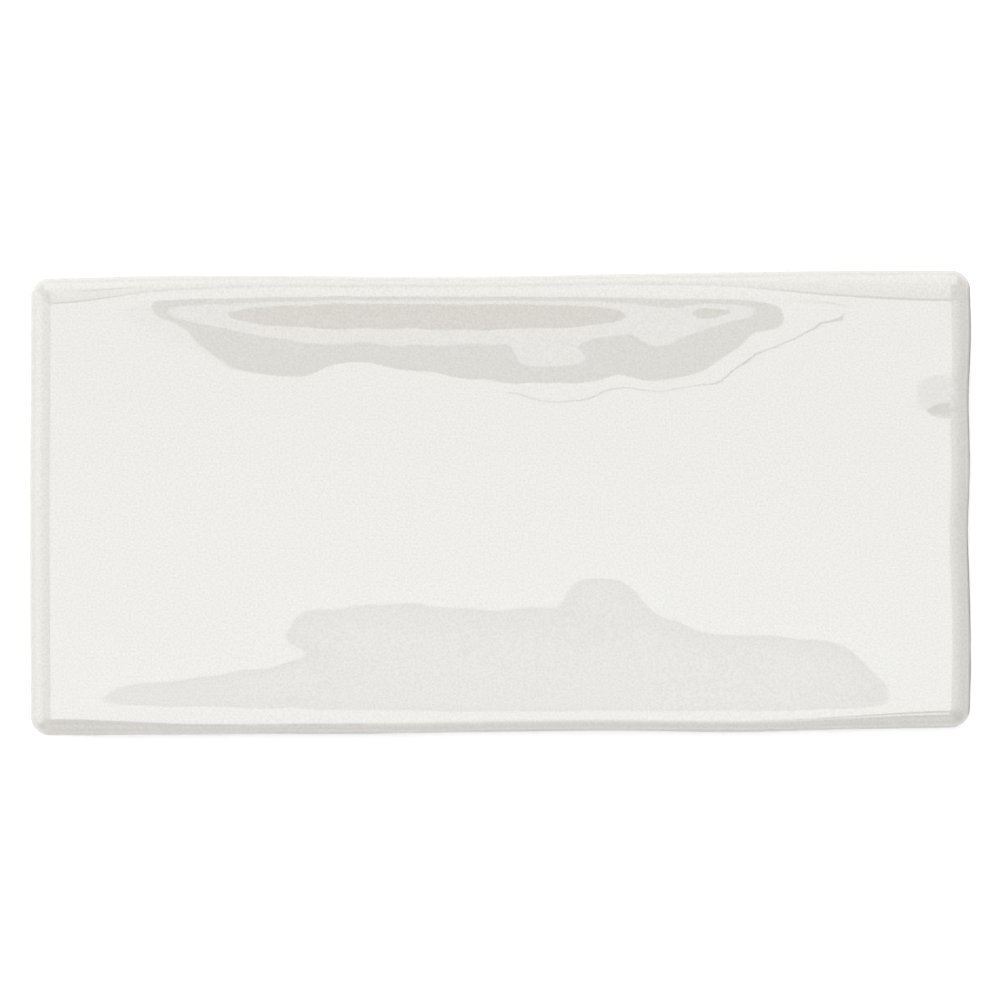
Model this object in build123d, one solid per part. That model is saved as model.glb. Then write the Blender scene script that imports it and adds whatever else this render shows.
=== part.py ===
from build123d import *
import os
from math import ceil, cos, erf, exp, pi, radians, sin, sqrt

# Ceramic wall tile, pressed and glazed to look handmade. It is one fired piece, in millimetres.
# It lies on its back with the glazed face up. X runs along the tile, Y across it, Z up.
# The origin is the middle of the back.

# Overall size
LENGTH = 149.0
WIDTH = 72.7
THICKNESS = 9.0
OUT_OF_SQUARE = 1.3  # how much further along Y the right end lies than the left end
PRESS_DRAFT = 0.5  # how far each side leans in from the face to the back

# Edges
CORNER_RADIUS = 3.2  # the four corners, seen from the front
RIM_RADIUS = 2.8  # the cushioned rim between face and sides
CORNER_LAND = 0.2  # least radius left at a corner once the rim has rolled over
BACK_ARRIS = 0.4  # the softened edge round the back

# How far each side wanders outwards from a straight line, at even steps from one corner to the next
WANDER_TOP = (0.30, 0.25, -0.10, -0.20, 0.00, 0.10, 0.15)  # left to right
WANDER_BOTTOM = (0.05, 0.10, 0.20, 0.05, 0.05, 0.40, 0.15)  # left to right
WANDER_LEFT = (0.10, 0.15, 0.05)  # bottom to top
WANDER_RIGHT = (0.20, 0.05, -0.25, 0.05, -0.15, 0.20)  # bottom to top

# Waves of the face. Each bank is a strip where the face leans: its place as shares of the half length
# and half width, its reach along and across the strip, its lean, which is how much it rises for each
# unit across the strip, and how many degrees the strip is turned from X.
BANKS = (
    # along the bottom edge: place x, place y, reach along, reach across, lean, turn
    (0.15, -0.68, 49, 11.1, 0.0152, 0),
    (-0.17, -0.44, 33, 5.4, 0.0048, 0),
    (-0.36, -0.54, 15, 4.7, 0.0041, 0),
    (0.22, -0.34, 7.0, 4.7, 0.0085, 0),
    (0.27, -0.42, 9.5, 4.1, 0.0040, -40),
    (-0.65, -0.57, 13, 6.6, -0.0055, 0),
    (-0.45, -0.68, 5.7, 2.1, -0.0042, 12),
    (-0.62, -0.80, 17, 3.3, 0.0074, 4),
    (0.53, -0.50, 13, 5.1, -0.0032, 0),
    (0.64, -0.72, 9.2, 5.4, 0.0037, 0),
    (0.00, -0.95, 142, 1.4, -0.0240, 0),
    # along the top edge
    (-0.11, 0.75, 46, 8.5, -0.0174, 0),
    (-0.22, 0.82, 38, 2.2, -0.0088, 0),
    (-0.66, 0.84, 5.4, 1.9, -0.0035, 0),
    (0.48, 0.83, 6.2, 1.7, -0.0110, 0),
    (0.40, 0.73, 8.5, 3.8, -0.0042, 0),
    (-0.50, 0.60, 9.5, 3.2, -0.0040, -14),
    (-0.31, 0.60, 5.7, 2.5, 0.0030, 8),
    (0.13, 0.50, 24, 3.5, -0.0045, 0),
    (0.11, 0.61, 7.3, 2.4, -0.0066, 0),
    (0.14, 0.44, 7.3, 1.9, -0.0042, 0),
    (0.39, 0.56, 7.0, 3.6, -0.0040, 0),
    (0.00, 0.93, 142, 1.4, 0.0220, 0),
    # at the right edge
    (0.93, 0.47, 2.8, 3.2, 0.0240, 90),
)
FACE_STEP = 1.5  # spacing of the points that the face is drawn through
FACE_OVERLAP = 4.0  # how far the drawn face runs past the sides before it trims them
FACE_ACCURACY = 0.002

# Keyed back: shallow pockets between ribs, which grip the adhesive
KEY_COLUMNS = 4
KEY_ROWS = 2
KEY_DEPTH = 0.8
KEY_RIB = 3.0
KEY_BORDER = 6.5  # plain margin between the outermost pockets and the sides of the back
KEY_CORNER = 2.0
KEY_DRAFT_ANGLE = 30.0


def corner(right, top, inset):
    """A corner of the outline: right and top are 1 or -1."""
    x = right * (LENGTH / 2 - inset)
    y = top * (WIDTH / 2 - inset) + right * OUT_OF_SQUARE / 2
    return Vector(x, y)


def side(start, end, wander, outward):
    """One gently wandering side of the outline, from corner to corner."""
    run = end - start
    steps = len(wander) + 1
    between = [start + run * ((i + 1) / steps) + outward * w for i, w in enumerate(wander)]
    return Spline(start, *between, end, tangents=[run.normalized(), run.normalized()])


def outline(inset, height):
    """The tile's plan, drawn in by inset, at a height above the back."""
    low_left, low_right = corner(-1, -1, inset), corner(1, -1, inset)
    top_left, top_right = corner(-1, 1, inset), corner(1, 1, inset)
    right, up = Vector(1, 0), Vector(0, 1)
    sides = [
        side(low_left, low_right, WANDER_BOTTOM, -up),
        side(low_right, top_right, WANDER_RIGHT, right),
        side(top_right, top_left, WANDER_TOP[::-1], up),
        side(top_left, low_left, WANDER_LEFT[::-1], -right),
    ]
    return Pos(0, 0, height) * Face(Wire(sides))


def pressed_block():
    """The blank: its sides lean in towards the back, and its corners are rounded."""
    lean = PRESS_DRAFT / THICKNESS
    top = THICKNESS + FACE_OVERLAP
    blank = loft([outline(PRESS_DRAFT, 0), outline(PRESS_DRAFT - lean * top, top)], ruled=True)
    upright = [e for e in blank.edges() if abs(e.tangent_at(0.5).Z) > 0.5]
    return fillet(upright, CORNER_RADIUS)


def face_height(x, y):
    """Height of the glazed face above the back. Each bank's step is measured from the tile's middle."""
    height = THICKNESS
    for place_x, place_y, reach_along, reach_across, lean, turn in BANKS:
        middle_x, middle_y = place_x * LENGTH / 2, place_y * WIDTH / 2
        c, s = cos(radians(turn)), sin(radians(turn))
        along = ((x - middle_x) * c + (y - middle_y) * s) / reach_along
        across = ((y - middle_y) * c - (x - middle_x) * s) / reach_across
        start = (middle_x * s - middle_y * c) / reach_across
        half_rise = lean * reach_across * sqrt(pi) / 2
        height += half_rise * exp(-(along**4)) * (erf(across) - erf(start))
    return height


def spread(size):
    """Even places along one direction of the face, past both of its ends."""
    reach = size / 2 + FACE_OVERLAP
    count = ceil(2 * reach / FACE_STEP)
    return [reach * (2 * i / count - 1) for i in range(count + 1)]


def wavy_face():
    """The glazed face as one smooth surface, larger than the tile."""
    rows = [[Vector(x, y, face_height(x, y)) for x in spread(LENGTH)] for y in spread(WIDTH)]
    return Face.make_surface_from_array_of_points(rows, tol=FACE_ACCURACY, min_deg=3, max_deg=5)


def key_pockets():
    """The pockets of the back, as solids to take away."""
    wide = (LENGTH - 2 * (PRESS_DRAFT + KEY_BORDER) + KEY_RIB) / KEY_COLUMNS
    high = (WIDTH - 2 * (PRESS_DRAFT + KEY_BORDER) + KEY_RIB) / KEY_ROWS
    mouth = RectangleRounded(wide - KEY_RIB, high - KEY_RIB, KEY_CORNER)
    pocket = extrude(mouth, KEY_DEPTH, taper=KEY_DRAFT_ANGLE)
    return [place * pocket for place in GridLocations(wide, high, KEY_COLUMNS, KEY_ROWS)]


def wall_tile():
    """The whole tile: blank, waved face, cushioned rim and keyed back."""
    tile = split(pressed_block(), bisect_by=wavy_face(), keep=Keep.TOP)
    rim = tile.faces().sort_by(Axis.Z)[-1].edges()
    tile = fillet(rim, min(RIM_RADIUS, CORNER_RADIUS - CORNER_LAND))
    tile = chamfer(tile.faces().sort_by(Axis.Z)[0].edges(), BACK_ARRIS)
    return tile - key_pockets()


os.makedirs("parts", exist_ok=True)
export_step(wall_tile(), "parts/wall_tile.step")
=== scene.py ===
"""A glossy, waved ceramic wall tile on a plain studio floor. Lengths are in metres."""

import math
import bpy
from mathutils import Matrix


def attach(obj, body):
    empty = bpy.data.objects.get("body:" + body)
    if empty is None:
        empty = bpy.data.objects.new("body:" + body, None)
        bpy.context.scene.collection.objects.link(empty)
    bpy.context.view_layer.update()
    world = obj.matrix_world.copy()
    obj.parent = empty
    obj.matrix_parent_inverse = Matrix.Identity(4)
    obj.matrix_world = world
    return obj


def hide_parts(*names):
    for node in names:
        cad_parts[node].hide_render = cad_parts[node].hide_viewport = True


bl_info = {
    "name": "Waved Wall Tile",
    "version": (1, 0, 0),
    "blender": (4, 5, 0),
    "location": "3D View > Sidebar > Wall Tile",
    "description": "Models a glazed wall tile with a waved face, and lights it for a view from above",
    "category": "Add Mesh",
}

import bpy
import numpy as np
from bpy.props import FloatProperty, FloatVectorProperty, IntProperty, PointerProperty
from mathutils import noise

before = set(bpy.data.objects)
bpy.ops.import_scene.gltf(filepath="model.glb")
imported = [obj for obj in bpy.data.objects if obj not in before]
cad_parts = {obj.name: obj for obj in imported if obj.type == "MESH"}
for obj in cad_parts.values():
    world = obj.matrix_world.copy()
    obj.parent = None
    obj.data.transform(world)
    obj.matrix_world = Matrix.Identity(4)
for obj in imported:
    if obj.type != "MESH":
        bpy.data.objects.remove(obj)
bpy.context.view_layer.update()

MM = 0.001
NODE = "wall_tile"
BODY = "root"
SLOT = "white_glaze"
PIECE = "glazed_tile"

# How far each side wanders outwards from a straight line, at even steps from one corner to the next
WANDER_TOP = (0.30, 0.25, -0.10, -0.20, 0.00, 0.10, 0.15)  # mm, left to right
WANDER_BOTTOM = (0.05, 0.10, 0.20, 0.05, 0.05, 0.40, 0.15)  # mm, left to right
WANDER_LEFT = (0.10, 0.15, 0.05)  # mm, bottom to top
WANDER_RIGHT = (0.20, 0.05, -0.25, 0.05, -0.15, 0.20)  # mm, bottom to top
# How fast the wander dies away towards the middle of the face: the power of the distance from there
WANDER_FADE = 3

# How wide the rounded rim is, from the crease at the edge of the face to the outline
RIM_TOP = (4.3, 2.7, 2.1, 1.9, 1.9, 1.95, 2.5, 4.3, 5.1)  # mm, at even steps from left to right
RIM_BOTTOM = (2.8, 1.9, 1.9, 1.9, 1.9, 2.0, 2.9)  # mm, at even steps from left to right
RIM_LEFT = 3.4  # mm
RIM_RIGHT = 3.2  # mm

# Banks of the waved face: place as shares of the half length and half width, reach along and across the
# bank in mm, lean, which is its rise for each unit across it, and its turn from X in degrees
BANKS = (
    # along the bottom edge
    (0.15, -0.68, 49, 11.1, 0.0152, 0),
    (-0.17, -0.44, 33, 5.4, 0.0048, 0),
    (-0.36, -0.54, 15, 4.7, 0.0041, 0),
    (0.22, -0.34, 7.0, 4.7, 0.0085, 0),
    (0.27, -0.42, 9.5, 4.1, 0.0040, -40),
    (-0.65, -0.57, 13, 6.6, -0.0055, 0),
    (-0.45, -0.68, 5.7, 2.1, -0.0042, 12),
    (-0.62, -0.80, 17, 3.3, 0.0074, 4),
    (0.53, -0.50, 13, 5.1, -0.0032, 0),
    (0.64, -0.72, 9.2, 5.4, 0.0037, 0),
    (0.00, -0.95, 142, 1.4, -0.0240, 0),
    # along the top edge
    (-0.11, 0.75, 46, 8.5, -0.0174, 0),
    (-0.22, 0.82, 38, 2.2, -0.0088, 0),
    (-0.66, 0.84, 5.4, 1.9, -0.0035, 0),
    (0.48, 0.83, 6.2, 1.7, -0.0110, 0),
    (0.40, 0.73, 8.5, 3.8, -0.0042, 0),
    (-0.50, 0.60, 9.5, 3.2, -0.0040, -14),
    (-0.31, 0.60, 5.7, 2.5, 0.0030, 8),
    (0.13, 0.50, 24, 3.5, -0.0045, 0),
    (0.11, 0.61, 7.3, 2.4, -0.0066, 0),
    (0.14, 0.44, 7.3, 1.9, -0.0042, 0),
    (0.39, 0.56, 7.0, 3.6, -0.0040, 0),
    (0.00, 0.93, 142, 1.4, 0.0220, 0),
    # at the right edge
    (0.93, 0.47, 2.8, 3.2, 0.0240, 90),
)

# Fine ripples of the fired glaze: length and height in mm
RIPPLES = ((6.0, 0.0036), (1.8, 0.0003))

# Patterns of the finish and of the painted edge shade: noise cells for each metre
GRAIN_SCALE = 3000.0
EDGE_SHADE_SCALE = 90.0
GLAZE_LINE_SCALE = 120.0
MOTTLE_SCALE = 70.0
SPECK_SCALE = 1800.0
CLAY_SCALE = 900.0
# Between which values of its noise each pattern goes from its least to its most
GRAIN_RANGE = (0.35, 0.75)
EDGE_SHADE_RANGE = (0.25, 0.60)
MOTTLE_RANGE = (0.35, 0.70)
SPECK_RANGE = (0.58, 0.72)
# Layers of finer and finer noise: in most patterns, and in the patches and the grain of the body
PATTERN_DETAIL = 2.0
CLAY_DETAIL = 4.0

# Painted shade along the right and lower sides, in a dark body colour: how far the surface has to face
# right or to the front, at which height above the back, and how strong the painted shade is on the right
# and on the lower side
EDGE_SHADE_RIGHT = (0.80, 0.97)
EDGE_SHADE_LOWER = (-0.88, -0.98)
EDGE_SHADE_HEIGHT = (5.2, 5.8)  # mm
EDGE_SHADE_RIGHT_SHARE = 1.0
EDGE_SHADE_LOWER_SHARE = 0.5
# The least and the most of the painted shade, from patch to patch
EDGE_SHADE_PATCHES = (0.40, 0.95)

# The glaze's lower end on the sides, and the grain of the bare body
GLAZE_LINE_WANDER = 0.8  # mm, up and down
GLAZE_LINE_FADE = 0.3  # mm
CLAY_GRAIN_DEPTH = 0.04  # mm
CLAY_GRAIN_STRENGTH = 0.6

# Cool lamps overhead, which the face mirrors: low and high corner as shares of the lamp height, their
# brightness at the front and at the rear, and in how many strips it goes from one to the other
OVERHEAD = (
    ("softbox", (-0.115, -0.050), (0.108, 0.0425), "softbox_front", "softbox_rear", 8),
    ("softbox_left", (-0.115, 0.0425), (0.002, 0.050), "softbox_rear", "softbox_rear", 1),
    ("softbox_right", (0.002, 0.0432), (0.108, 0.050), "softbox_rear", "softbox_rear", 1),
    ("softbox_corner", (0.0725, 0.0425), (0.108, 0.0432), "softbox_rear", "softbox_rear", 1),
    ("front_flag", (-0.15, -0.064), (0.15, -0.050), "front_reflector", "front_flag", 4),
    ("front_reflector", (-0.15, -0.10), (0.15, -0.064), "front_reflector", "front_reflector", 1),
    ("front_strip", (-0.02, -0.55), (0.12, -0.28), "softbox_rear", "softbox_rear", 1),
    ("slit", (-0.115, 0.0675), (0.108, 0.0780), "side_reflector", "side_reflector", 1),
    ("right_reflector", (0.108, -0.050), (0.15, 0.050), "side_reflector", "side_reflector", 1),
)
# The dim strip behind the softbox: low and high corner, and how far its left end lies from the low corner
# at the front and at the rear. To the left of that end is a brighter strip.
DIFFUSER = ((-0.115, 0.050), (0.108, 0.0675))
DIFFUSER_TAPER = (0.061, 0.0515)
DIFFUSER_STRIPS = 10
# Paler panels overhead, which the rim mirrors
PANELS = (
    ("left_panel", (-0.95, -0.12), (-0.15, 0.12), "side_panel", "side_panel", 1),
    ("right_panel", (0.15, -0.12), (0.95, 0.12), "side_panel", "side_panel", 1),
    ("rear_panel", (-0.16, 0.15), (0.16, 0.95), "rear_panel", "rear_panel", 1),
)
# Windows all round: middle in metres, and which brightness they have
WINDOWS = (
    ("rear_window", (0.0, 2.8, 1.3), "rear_window"),
    ("left_window", (-2.8, 0.0, 1.3), "left_window"),
    ("right_window", (2.8, 0.0, 1.3), "right_window"),
    ("front_window", (0.0, -2.8, 1.3), "front_window"),
)

# Mesh density: cells of the face, cells across a corner's rounding, rings of the rim and the sides, and
# cells round a corner of a pocket
FACE_CELLS_X = 340
FACE_CELLS_Y = 164
CORNER_CELLS = 5
RIM_RINGS = 14
SIDE_RINGS = 4
KEY_CORNER_CELLS = 6
SMOOTH_ANGLE = 35.0  # degrees

# The floor, just under the tile: colour for light, and for what the camera and reflections see
FLOOR_SIZE = 12.0  # m
FLOOR_GAP = 0.2  # mm
FLOOR_COLOUR = (0.85, 0.85, 0.85)
FLOOR_SEEN = (1.5, 1.5, 1.5)
CAMERA_OFFSET = (-0.02, 0.46)  # mm, from the tile's middle


class TileShape(bpy.types.PropertyGroup):
    """Sizes of the tile. All but the crease radius are those of its solid"""

    length: FloatProperty(name="Length", description="Along X", default=149.0 * MM, unit="LENGTH")
    width: FloatProperty(name="Width", description="Along Y", default=72.7 * MM, unit="LENGTH")
    thickness: FloatProperty(
        name="Thickness", description="Back to the middle of the face", default=9.0 * MM, unit="LENGTH"
    )
    out_of_square: FloatProperty(
        name="Out of square",
        description="How much further along Y the right end lies than the left end",
        default=1.3 * MM,
        unit="LENGTH",
    )
    press_draft: FloatProperty(
        name="Press draft",
        description="How far each side leans in from the face to the back",
        default=0.5 * MM,
        unit="LENGTH",
    )
    corner_radius: FloatProperty(
        name="Corner radius", description="Corners seen from the front", default=3.2 * MM, unit="LENGTH"
    )
    crease_radius: FloatProperty(
        name="Crease radius",
        description="Corners of the face inside the rim",
        default=0.5 * MM,
        unit="LENGTH",
    )
    rim_depth: FloatProperty(
        name="Rim depth",
        description="How far the rim drops to the sides",
        default=2.8 * MM,
        unit="LENGTH",
    )
    back_arris: FloatProperty(
        name="Back arris", description="Softened edge of the back", default=0.4 * MM, unit="LENGTH"
    )
    key_columns: IntProperty(name="Key columns", description="Pockets along the back", default=4)
    key_rows: IntProperty(name="Key rows", description="Pockets across the back", default=2)
    key_depth: FloatProperty(
        name="Key depth", description="Depth of the back's pockets", default=0.8 * MM, unit="LENGTH"
    )
    key_rib: FloatProperty(
        name="Key rib", description="Rib between two pockets", default=3.0 * MM, unit="LENGTH"
    )
    key_border: FloatProperty(
        name="Key border", description="Plain margin round the pockets", default=6.5 * MM, unit="LENGTH"
    )
    key_corner: FloatProperty(
        name="Key corner", description="Corner radius of a pocket", default=2.0 * MM, unit="LENGTH"
    )
    key_draft_angle: FloatProperty(
        name="Key draft",
        description="Slope of a pocket's walls",
        default=math.radians(30.0),
        subtype="ANGLE",
    )


class GlazeFinish(bpy.types.PropertyGroup):
    """Colours and gloss of the glaze and the bare body, and the colour of the painted edge shade"""

    glaze_colour: FloatVectorProperty(
        name="Glaze", description="Warm white glaze", subtype="COLOR", default=(0.822, 0.773, 0.690)
    )
    grain_colour: FloatVectorProperty(
        name="Grain",
        description="Darker grain in the glaze",
        subtype="COLOR",
        default=(0.720, 0.672, 0.582),
    )
    # Painted shade: a dark brownish colour laid along the right and lower sides
    edge_shade_colour: FloatVectorProperty(
        name="Edge",
        description="Body showing through thin glaze",
        subtype="COLOR",
        default=(0.30, 0.25, 0.20),
    )
    body_colour: FloatVectorProperty(
        name="Body", description="Bare fired body", subtype="COLOR", default=(0.66, 0.58, 0.47)
    )
    mottle_colour: FloatVectorProperty(
        name="Mottle",
        description="Darker patches of the body",
        subtype="COLOR",
        default=(0.58, 0.49, 0.38),
    )
    speck_colour: FloatVectorProperty(
        name="Speck",
        description="Coarse grains in the body",
        subtype="COLOR",
        default=(0.46, 0.38, 0.29),
    )
    glaze_roughness: FloatProperty(
        name="Glaze roughness", description="How rough the gloss glaze is", default=0.006
    )
    body_roughness: FloatProperty(
        name="Body roughness", description="How rough the dull body is", default=0.85
    )
    glaze_ior: FloatProperty(name="Glaze IOR", description="Refractive index of the glaze", default=1.6)
    glaze_line: FloatProperty(
        name="Glaze line",
        description="Height above the back where the glaze on the sides ends",
        default=2.2 * MM,
        unit="LENGTH",
    )


class StudioSetup(bpy.types.PropertyGroup):
    """Lamps, windows, room and camera"""

    lens: FloatProperty(name="Lens", description="Focal length in millimetres", default=300.0)
    camera_height: FloatProperty(
        name="Camera height", description="Above the tile's face", default=1.3167, unit="LENGTH"
    )
    lamp_height: FloatProperty(
        name="Lamp height", description="Overhead lamps above the face", default=1.6, unit="LENGTH"
    )
    softbox_front: FloatProperty(
        name="Softbox front", description="Brightness of the softbox's front edge", default=3.68
    )
    softbox_rear: FloatProperty(
        name="Softbox rear", description="Brightness of the softbox's rear edge", default=3.05
    )
    front_flag: FloatProperty(
        name="Front flag", description="Brightness right in front of the softbox", default=1.95
    )
    front_reflector: FloatProperty(
        name="Front reflector", description="Brightness further in front of the softbox", default=2.55
    )
    side_reflector: FloatProperty(
        name="Side reflector", description="Brightness of the slit and right of the softbox", default=2.1
    )
    diffuser: FloatProperty(
        name="Diffuser", description="Brightness of the dim strip behind the softbox", default=0.57
    )
    open_end: FloatProperty(
        name="Open end", description="Brightness left of the dim strip", default=2.6
    )
    side_panel: FloatProperty(
        name="Side panels", description="Brightness of the left and the right panel", default=1.5
    )
    rear_panel: FloatProperty(
        name="Rear panel", description="Brightness of the panel behind the softbox", default=1.9
    )
    window_width: FloatProperty(
        name="Window width", description="Width of a window", default=3.2, unit="LENGTH"
    )
    window_height: FloatProperty(
        name="Window height", description="Height of a window", default=2.4, unit="LENGTH"
    )
    rear_window: FloatProperty(
        name="Rear window", description="Brightness of the rear window", default=2.2
    )
    left_window: FloatProperty(
        name="Left window", description="Brightness of the left window", default=2.1
    )
    right_window: FloatProperty(
        name="Right window", description="Brightness of the right window", default=0.95
    )
    front_window: FloatProperty(
        name="Front window", description="Brightness of the front window", default=1.12
    )
    lamp_colour: FloatVectorProperty(
        name="Lamps",
        description="Cool colour of the lamps overhead",
        subtype="COLOR",
        default=(0.93, 1.0, 1.12),
    )
    daylight: FloatVectorProperty(
        name="Daylight",
        description="Colour of panels and windows",
        subtype="COLOR",
        default=(0.96, 1.0, 1.06),
    )
    room: FloatProperty(name="Room", description="Brightness of the plain room", default=0.15)


def smooth_line(values, along):
    """A smooth line through evenly spaced values, flat at both ends. along runs from 0 to 1."""
    values = np.array(values) * MM
    slopes = np.zeros_like(values)
    slopes[1:-1] = (values[2:] - values[:-2]) / 2
    place = np.clip(along, 0.0, 1.0) * (len(values) - 1)
    start = np.minimum(place.astype(int), len(values) - 2)
    t = place - start
    rise = t * t * (3 - 2 * t)
    return (
        values[start] * (1 - rise)
        + values[start + 1] * rise
        + slopes[start] * t * (1 - t) ** 2
        - slopes[start + 1] * t * t * (1 - t)
    )


def wander(steps, along):
    """How far a side wanders outwards, from nothing at one corner to nothing at the next."""
    return smooth_line((0.0, *steps, 0.0), along)


def bank_heights(shape, x, y):
    """Height of the face above the back. Each bank's step is measured from the tile's middle."""
    erf = np.vectorize(math.erf)
    height = np.full_like(x, shape.thickness)
    for place_x, place_y, reach_along, reach_across, lean, turn in BANKS:
        middle_x, middle_y = place_x * shape.length / 2, place_y * shape.width / 2
        c, s = math.cos(math.radians(turn)), math.sin(math.radians(turn))
        along = ((x - middle_x) * c + (y - middle_y) * s) / (reach_along * MM)
        across = ((y - middle_y) * c - (x - middle_x) * s) / (reach_across * MM)
        start = (middle_x * s - middle_y * c) / (reach_across * MM)
        half_rise = lean * reach_across * MM * math.sqrt(math.pi) / 2
        height += half_rise * np.exp(-(along**4)) * (erf(across) - math.erf(start))
    return height


def ripple_heights(x, y):
    """Fine unevenness of the glaze on top of the banks."""
    height = np.zeros_like(x)
    for length, rise in RIPPLES:
        places = zip(x / (length * MM), y / (length * MM))
        height += np.array([noise.noise((px, py, length)) for px, py in places]) * rise * MM
    return height


def grid_place(share, cells, straight):
    """Splits a grid line's place, -1 to 1, into places on the straight stretch and in the rounding."""
    line = (share + 1) / 2 * cells
    first = CORNER_CELLS
    last = cells - CORNER_CELLS
    along = np.clip((line - first) / (last - first), 0, 1) * 2 - 1
    rounding = np.clip((line - last) / first, 0, 1) - np.clip(1 - line / first, 0, 1)
    return along * straight, rounding


class TilePlan:
    """Where the points of a square grid, and of rings round it, lie on the tile."""

    def __init__(self, shape, u, v):
        self.shape = shape
        self.u = u
        self.v = v

    def rounded(self, radius, reach, rim):
        """X and Y on the oblong with rounded corners. rim is the share of the rim left outside it."""
        shape = self.shape
        base_x, p = grid_place(self.u, FACE_CELLS_X, shape.length / 2 - radius)
        base_y, q = grid_place(self.v, FACE_CELLS_Y, shape.width / 2 - radius)
        along = base_x / shape.length + 0.5
        up = base_y / shape.width + 0.5
        x = base_x + p * np.sqrt(1 - q * q / 2) * reach
        y = base_y + q * np.sqrt(1 - p * p / 2) * reach
        right, top = self.u > 0, self.v > 0
        wander_x = np.where(right, wander(WANDER_RIGHT, up), -wander(WANDER_LEFT, up))
        wander_y = np.where(top, wander(WANDER_TOP, along), -wander(WANDER_BOTTOM, along))
        x += wander_x * np.abs(self.u) ** WANDER_FADE
        y += wander_y * np.abs(self.v) ** WANDER_FADE
        x -= rim * self.u * np.where(right, RIM_RIGHT, RIM_LEFT) * MM
        y -= rim * self.v * np.where(top, smooth_line(RIM_TOP, along), smooth_line(RIM_BOTTOM, along))
        return x, y + x * shape.out_of_square / shape.length

    def crease(self):
        """The edge of the face, and everything inside it."""
        return self.rounded(self.shape.crease_radius, self.shape.crease_radius, 1.0)

    def outline(self, inset):
        """The outline, drawn in from its widest by inset."""
        return self.rounded(self.shape.corner_radius, self.shape.corner_radius - inset, 0.0)


def face_points(plan):
    """Points of the waved face up to its crease."""
    x, y = plan.crease()
    return x, y, bank_heights(plan.shape, x, y) + ripple_heights(x, y)


def side_inset(shape, height):
    """How far the leaning side lies inside the widest outline at a height."""
    return shape.press_draft * (1 - height / shape.thickness)


def ring_points(plan, number):
    """One ring round the face. Rings run down the rim, then the sides, and the last is on the back."""
    shape = plan.shape
    x, y, top = face_points(plan)
    top -= shape.rim_depth
    if number <= RIM_RINGS:
        turn = math.pi / 2 * number / RIM_RINGS
        side_x, side_y = plan.outline(side_inset(shape, shape.thickness - shape.rim_depth))
        x += (side_x - x) * math.sin(turn)
        y += (side_y - y) * math.sin(turn)
        return x, y, top + shape.rim_depth * math.cos(turn)
    if number <= RIM_RINGS + SIDE_RINGS:
        height = top + (shape.back_arris - top) * (number - RIM_RINGS) / SIDE_RINGS
        return *plan.outline(side_inset(shape, height)), height
    return *plan.outline(side_inset(shape, 0.0) + shape.back_arris), np.zeros_like(top)


def deselect_all():
    """Leaves nothing selected."""
    if bpy.context.object and bpy.context.object.mode != "OBJECT":
        bpy.ops.object.mode_set(mode="OBJECT")
    bpy.ops.object.select_all(action="DESELECT")


def blank_grid():
    """A square grid with rings of faces drawn out of its border, and the last ring filled."""
    deselect_all()
    bpy.ops.mesh.primitive_grid_add(x_subdivisions=FACE_CELLS_X, y_subdivisions=FACE_CELLS_Y, size=2)
    tile = bpy.context.object
    bpy.ops.object.mode_set(mode="EDIT")
    bpy.ops.mesh.select_mode(type="EDGE")
    bpy.ops.mesh.select_all(action="DESELECT")
    bpy.ops.mesh.select_non_manifold()
    for _ in range(RIM_RINGS + SIDE_RINGS + 1):
        bpy.ops.mesh.extrude_edges_move()
    bpy.ops.mesh.edge_face_add()
    bpy.ops.object.mode_set(mode="OBJECT")
    return tile


def form_tile(tile, shape):
    """Moves the blank grid's points to the waved face, the rim, the sides and the back."""
    count = len(tile.data.vertices)
    flat = np.empty(count * 3)
    tile.data.vertices.foreach_get("co", flat)
    points = flat.reshape(count, 3)
    face_count = (FACE_CELLS_X + 1) * (FACE_CELLS_Y + 1)
    ring_count = 2 * (FACE_CELLS_X + FACE_CELLS_Y)
    face = slice(0, face_count)
    plan = TilePlan(shape, points[face, 0], points[face, 1])
    points[face] = np.stack(face_points(plan), axis=1)
    for number in range(1, RIM_RINGS + SIDE_RINGS + 2):
        start = face_count + (number - 1) * ring_count
        ring = slice(start, start + ring_count)
        plan = TilePlan(shape, points[ring, 0], points[ring, 1])
        points[ring] = np.stack(ring_points(plan, number), axis=1)
    tile.data.vertices.foreach_set("co", points.ravel())
    tile.data.update()


def key_block(shape, size_x, size_y):
    """A block with rounded upright corners, a pocket's depth above and below the back."""
    deselect_all()
    bpy.ops.mesh.primitive_cube_add(size=1)
    block = bpy.context.object
    bpy.ops.transform.resize(value=(size_x, size_y, 2 * shape.key_depth))
    bpy.ops.object.transform_apply(location=False, rotation=False, scale=True)
    bpy.ops.object.mode_set(mode="EDIT")
    bpy.ops.mesh.select_mode(type="EDGE")
    bpy.ops.mesh.select_all(action="DESELECT")
    bpy.ops.object.mode_set(mode="OBJECT")
    for edge in block.data.edges:
        ends = [block.data.vertices[i].co for i in edge.vertices]
        edge.select = abs(ends[0].z - ends[1].z) > shape.key_depth
    bpy.ops.object.mode_set(mode="EDIT")
    bpy.ops.mesh.bevel(offset=shape.key_corner, segments=KEY_CORNER_CELLS, affect="EDGES")
    bpy.ops.object.mode_set(mode="OBJECT")
    return block


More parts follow.
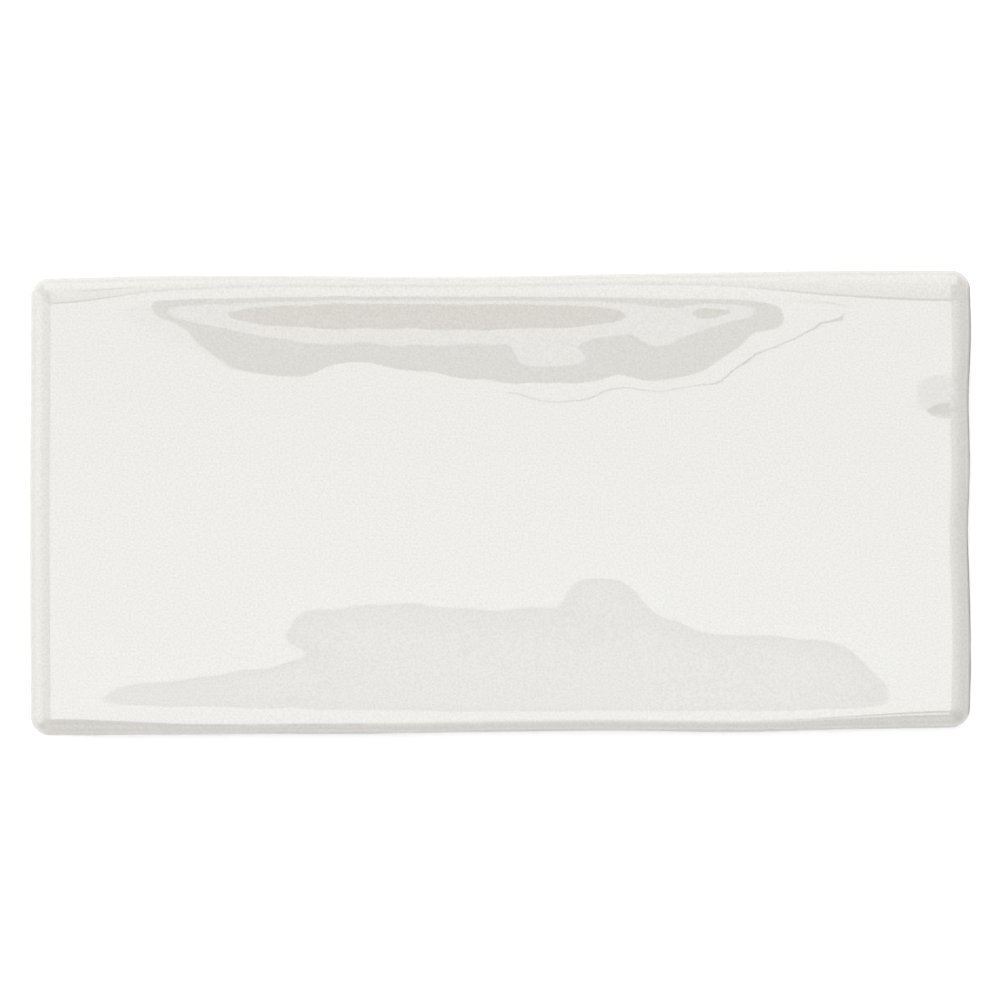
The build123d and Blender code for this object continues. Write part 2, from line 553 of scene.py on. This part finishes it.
def key_cutter(shape):
    """The back's pockets as one mesh: a tapered block, repeated in rows and columns."""
    margin = shape.press_draft + shape.key_border
    wide = (shape.length - 2 * margin + shape.key_rib) / shape.key_columns
    high = (shape.width - 2 * margin + shape.key_rib) / shape.key_rows
    size_x, size_y = wide - shape.key_rib, high - shape.key_rib
    taper = 2 * shape.key_depth * math.tan(shape.key_draft_angle)
    cutter = key_block(shape, size_x, size_y)
    for vertex in cutter.data.vertices:
        grow = -taper if vertex.co.z > 0 else taper
        vertex.co.x *= 1 + grow / size_x
        vertex.co.y *= 1 + grow / size_y
        vertex.co.x -= wide * (shape.key_columns - 1) / 2
        vertex.co.y -= high * (shape.key_rows - 1) / 2
    for count, step in ((shape.key_columns, (wide, 0, 0)), (shape.key_rows, (0, high, 0))):
        array = cutter.modifiers.new("repeat", "ARRAY")
        array.count = count
        array.use_relative_offset = False
        array.use_constant_offset = True
        array.constant_offset_displace = step
        bpy.ops.object.modifier_apply(modifier=array.name)
    return cutter


def cut_keys(tile, shape):
    """Takes the pockets out of the back."""
    cutter = key_cutter(shape)
    deselect_all()
    tile.select_set(True)
    bpy.context.view_layer.objects.active = tile
    cut = tile.modifiers.new("keys", "BOOLEAN")
    cut.operation = "DIFFERENCE"
    cut.solver = "EXACT"
    cut.object = cutter
    bpy.ops.object.modifier_apply(modifier=cut.name)
    bpy.data.objects.remove(cutter)


def add_node(tree, kind, **settings):
    """A new shader node with its properties set."""
    node = tree.nodes.new(kind)
    for name, value in settings.items():
        setattr(node, name, value)
    return node


def noise_value(tree, coordinates, scale, detail=PATTERN_DETAIL):
    """Noise, 0 to 1, read at the piece's own coordinates."""
    node = add_node(tree, "ShaderNodeTexNoise")
    node.inputs["Scale"].default_value = scale
    node.inputs["Detail"].default_value = detail
    tree.links.new(coordinates, node.inputs["Vector"])
    return node.outputs["Fac"]


def ranged(tree, value, low, high, to_low=0.0, to_high=1.0):
    """A value stretched from one range to another, and kept in it."""
    node = add_node(tree, "ShaderNodeMapRange", clamp=True)
    node.inputs["From Min"].default_value = low
    node.inputs["From Max"].default_value = high
    node.inputs["To Min"].default_value = to_low
    node.inputs["To Max"].default_value = to_high
    tree.links.new(value, node.inputs["Value"])
    return node.outputs["Result"]


def colour_mix(tree, factor, first, second):
    """A blend of two colours, each a value or a socket."""
    node = add_node(tree, "ShaderNodeMix", data_type="RGBA")
    tree.links.new(factor, node.inputs["Factor"])
    for socket, colour in ((node.inputs["A"], first), (node.inputs["B"], second)):
        if isinstance(colour, bpy.types.NodeSocket):
            tree.links.new(colour, socket)
        else:
            socket.default_value = (*colour, 1.0)
    return node.outputs["Result"]


def joined(tree, operation, first, second):
    """Two values put together by a sum, a product or the like."""
    node = add_node(tree, "ShaderNodeMath", operation=operation)
    tree.links.new(first, node.inputs[0])
    tree.links.new(second, node.inputs[1])
    return node.outputs[0]


def painted_edge_shade(tree, place, coordinates):
    """How much painted shade darkens the widest part of the right and lower sides, patchy from place to
    place.
    """
    normal = add_node(tree, "ShaderNodeSeparateXYZ")
    tree.links.new(add_node(tree, "ShaderNodeTexCoord").outputs["Normal"], normal.inputs["Vector"])
    right = ranged(tree, normal.outputs["X"], *EDGE_SHADE_RIGHT, 0.0, EDGE_SHADE_RIGHT_SHARE)
    lower = ranged(tree, normal.outputs["Y"], *EDGE_SHADE_LOWER, 0.0, EDGE_SHADE_LOWER_SHARE)
    above = ranged(tree, place.outputs["Z"], *(height * MM for height in EDGE_SHADE_HEIGHT))
    patchy = ranged(tree, noise_value(tree, coordinates, EDGE_SHADE_SCALE), *EDGE_SHADE_RANGE, *EDGE_SHADE_PATCHES)
    side = joined(tree, "MAXIMUM", right, lower)
    return joined(tree, "MULTIPLY", joined(tree, "MULTIPLY", side, above), patchy)


def bare_part(tree, place, coordinates, finish):
    """1 where the body is bare, below the wandering lower end of the glaze, and 0 above it."""
    wave = noise_value(tree, coordinates, GLAZE_LINE_SCALE)
    shift = ranged(tree, wave, 0.0, 1.0, -GLAZE_LINE_WANDER * MM, GLAZE_LINE_WANDER * MM)
    height = joined(tree, "SUBTRACT", place.outputs["Z"], shift)
    return ranged(tree, height, finish.glaze_line, finish.glaze_line - GLAZE_LINE_FADE * MM)


def fired_body(tree, coordinates, finish):
    """Colour of the bare body: patches and coarse grains in a pale clay."""
    mottle = ranged(tree, noise_value(tree, coordinates, MOTTLE_SCALE, CLAY_DETAIL), *MOTTLE_RANGE)
    speck = ranged(tree, noise_value(tree, coordinates, SPECK_SCALE), *SPECK_RANGE)
    clay = colour_mix(tree, mottle, finish.body_colour, finish.mottle_colour)
    return colour_mix(tree, speck, clay, finish.speck_colour)


def clay_grain(tree, coordinates, bare):
    """Fine rough grain of the body, only where it is bare."""
    bump = add_node(tree, "ShaderNodeBump")
    bump.inputs["Strength"].default_value = CLAY_GRAIN_STRENGTH
    bump.inputs["Distance"].default_value = CLAY_GRAIN_DEPTH * MM
    grain = noise_value(tree, coordinates, CLAY_SCALE, CLAY_DETAIL)
    tree.links.new(joined(tree, "MULTIPLY", grain, bare), bump.inputs["Height"])
    return bump.outputs["Normal"]


def glaze_material(finish):
    """Gloss warm white glaze with a fine grain, painted shade along the right and lower sides, and the
    bare body low on the sides and on the back.
    """
    material = bpy.data.materials.new(SLOT)
    material.use_nodes = True
    tree = material.node_tree
    shader = tree.nodes["Principled BSDF"]
    coordinates = add_node(tree, "ShaderNodeTexCoord").outputs["Object"]
    place = add_node(tree, "ShaderNodeSeparateXYZ")
    tree.links.new(coordinates, place.inputs["Vector"])

    grain = ranged(tree, noise_value(tree, coordinates, GRAIN_SCALE), *GRAIN_RANGE)
    # Painted shade in a dark body colour along the right and lower sides, which also makes the glaze
    # rough there
    edge_shade = painted_edge_shade(tree, place, coordinates)
    bare = bare_part(tree, place, coordinates, finish)
    glaze = colour_mix(tree, grain, finish.glaze_colour, finish.grain_colour)
    glaze = colour_mix(tree, edge_shade, glaze, finish.edge_shade_colour)
    colour = colour_mix(tree, bare, glaze, fired_body(tree, coordinates, finish))
    tree.links.new(colour, shader.inputs["Base Color"])

    dull = joined(tree, "MAXIMUM", bare, edge_shade)
    rough = ranged(tree, dull, 0.0, 1.0, finish.glaze_roughness, finish.body_roughness)
    tree.links.new(rough, shader.inputs["Roughness"])
    tree.links.new(clay_grain(tree, coordinates, bare), shader.inputs["Normal"])
    shader.inputs["IOR"].default_value = finish.glaze_ior
    return material


class TILE_OT_wall_tile(bpy.types.Operator):
    """Model the tile and give it its glaze"""

    bl_idname = "wall_tile.tile"
    bl_label = "Waved Tile"

    def execute(self, context):
        shape = context.scene.tile_shape
        tile = blank_grid()
        form_tile(tile, shape)
        tile.name = PIECE
        tile.data.name = PIECE
        cut_keys(tile, shape)
        bpy.ops.object.shade_smooth_by_angle(angle=math.radians(SMOOTH_ANGLE))
        tile.data.materials.clear()
        tile.data.materials.append(glaze_material(context.scene.glaze_finish))
        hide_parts(NODE)
        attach(tile, BODY)
        return {"FINISHED"}


def lamp(name, low, high, height, radiance, colour):
    """A flat overhead lamp from its low to its high corner, facing down."""
    size = (high[0] - low[0], high[1] - low[1])
    data = bpy.data.lights.new(name, "AREA")
    data.shape = "RECTANGLE"
    data.size, data.size_y = size
    data.energy = radiance * math.pi * size[0] * size[1]
    data.color = colour
    lamp_object = bpy.data.objects.new(name, data)
    lamp_object.location = ((low[0] + high[0]) / 2, (low[1] + high[1]) / 2, height)
    lamp_object.visible_camera = False
    bpy.context.scene.collection.objects.link(lamp_object)
    return lamp_object


def graded(low, high, front, rear, count):
    """Strips of a lamp from front to rear: low and high corner of each, and its brightness."""
    step = (high[1] - low[1]) / count
    for number in range(count):
        start = low[1] + number * step
        share = (number + 0.5) / count
        yield (low[0], start), (high[0], start + step), front + (rear - front) * share


def tapered_diffuser(studio):
    """Strips of the diffuser and of the brighter end on its left: low and high corner, brightness."""
    low, high = DIFFUSER
    front_taper, rear_taper = DIFFUSER_TAPER
    for strip_low, strip_high, taper in graded(low, high, front_taper, rear_taper, DIFFUSER_STRIPS):
        end = low[0] + taper
        yield strip_low, (end, strip_high[1]), studio.open_end
        yield (end, strip_low[1]), strip_high, studio.diffuser


def overhead_strips(studio):
    """Every strip overhead: name, corners as shares of the lamp height, brightness and colour."""
    for lamps, colour in ((OVERHEAD, studio.lamp_colour), (PANELS, studio.daylight)):
        for name, low, high, front, rear, count in lamps:
            levels = getattr(studio, front), getattr(studio, rear)
            for strip in graded(low, high, *levels, count):
                yield name, *strip, colour
    for strip in tapered_diffuser(studio):
        yield "diffuser", *strip, studio.lamp_colour


def add_overhead_lamps(studio, floor_to_lamps):
    """The lamps and panels overhead."""
    reach = studio.lamp_height
    for name, low, high, radiance, colour in overhead_strips(studio):
        low = [share * reach for share in low]
        high = [share * reach for share in high]
        lamp(name, low, high, floor_to_lamps, radiance, colour)


def add_windows(studio):
    """The windows all round, each turned to the tile."""
    half_width, half_height = studio.window_width / 2, studio.window_height / 2
    for name, middle, brightness in WINDOWS:
        low, high = (-half_width, -half_height), (half_width, half_height)
        window = lamp(name, low, high, 0.0, getattr(studio, brightness), studio.daylight)
        window.location = middle
        window.rotation_mode = "QUATERNION"
        window.rotation_quaternion = (-window.location).to_track_quat("-Z", "Y")


def floor_material():
    """Plain floor that looks white and still takes a shadow."""
    material = bpy.data.materials.new("studio_floor")
    material.use_nodes = True
    tree = material.node_tree
    tree.nodes.clear()
    output = add_node(tree, "ShaderNodeOutputMaterial")
    shader = add_node(tree, "ShaderNodeBsdfDiffuse")
    path = add_node(tree, "ShaderNodeLightPath")
    seen = add_node(tree, "ShaderNodeMath", operation="MAXIMUM")
    tree.links.new(path.outputs["Is Camera Ray"], seen.inputs[0])
    tree.links.new(path.outputs["Is Glossy Ray"], seen.inputs[1])
    tree.links.new(colour_mix(tree, seen.outputs[0], FLOOR_COLOUR, FLOOR_SEEN), shader.inputs["Color"])
    tree.links.new(shader.outputs["BSDF"], output.inputs["Surface"])
    return material


def add_floor():
    """The floor under the tile."""
    deselect_all()
    bpy.ops.mesh.primitive_plane_add(size=FLOOR_SIZE, location=(0, 0, -FLOOR_GAP * MM))
    floor = bpy.context.object
    floor.name = "studio_floor"
    floor.data.materials.append(floor_material())


def room_world(studio):
    """A plain dim room."""
    world = bpy.data.worlds.new("room")
    world.use_nodes = True
    background = world.node_tree.nodes["Background"]
    background.inputs["Color"].default_value = (1.0, 1.0, 1.0, 1.0)
    background.inputs["Strength"].default_value = studio.room
    return world


def add_camera(studio, shape):
    """The camera, which looks straight down at the tile."""
    data = bpy.data.cameras.new("camera")
    data.lens = studio.lens
    camera = bpy.data.objects.new("camera", data)
    offset_x, offset_y = CAMERA_OFFSET
    camera.location = (offset_x * MM, offset_y * MM, studio.camera_height + shape.thickness)
    bpy.context.scene.collection.objects.link(camera)
    bpy.context.scene.camera = camera


class TILE_OT_studio(bpy.types.Operator):
    """Add the floor, the lamps and the camera"""

    bl_idname = "wall_tile.studio"
    bl_label = "Studio"

    def execute(self, context):
        studio = context.scene.studio_setup
        shape = context.scene.tile_shape
        add_floor()
        add_overhead_lamps(studio, studio.lamp_height + shape.thickness)
        add_windows(studio)
        context.scene.world = room_world(studio)
        add_camera(studio, shape)
        context.scene.view_settings.view_transform = "Standard"
        return {"FINISHED"}


class TILE_PT_panel(bpy.types.Panel):
    """Sizes, finish and studio of the wall tile"""

    bl_idname = "TILE_PT_panel"
    bl_label = "Wall Tile"
    bl_space_type = "VIEW_3D"
    bl_region_type = "UI"
    bl_category = "Wall Tile"

    def draw(self, context):
        for operator in (TILE_OT_wall_tile, TILE_OT_studio):
            self.layout.operator(operator.bl_idname)
        for name in ("tile_shape", "glaze_finish", "studio_setup"):
            settings = getattr(context.scene, name)
            column = self.layout.column()
            for field in type(settings).__annotations__:
                column.prop(settings, field)


CLASSES = (TileShape, GlazeFinish, StudioSetup, TILE_OT_wall_tile, TILE_OT_studio, TILE_PT_panel)


def register():
    """Adds the settings, the operators and the panel."""
    for cls in CLASSES:
        bpy.utils.register_class(cls)
    bpy.types.Scene.tile_shape = PointerProperty(type=TileShape)
    bpy.types.Scene.glaze_finish = PointerProperty(type=GlazeFinish)
    bpy.types.Scene.studio_setup = PointerProperty(type=StudioSetup)


def unregister():
    """Takes them away again."""
    del bpy.types.Scene.studio_setup
    del bpy.types.Scene.glaze_finish
    del bpy.types.Scene.tile_shape
    for cls in reversed(CLASSES):
        bpy.utils.unregister_class(cls)


def main():
    """Builds the tile and the studio."""
    register()
    bpy.ops.wall_tile.tile()
    bpy.ops.wall_tile.studio()


if __name__ == "__main__":
    main()
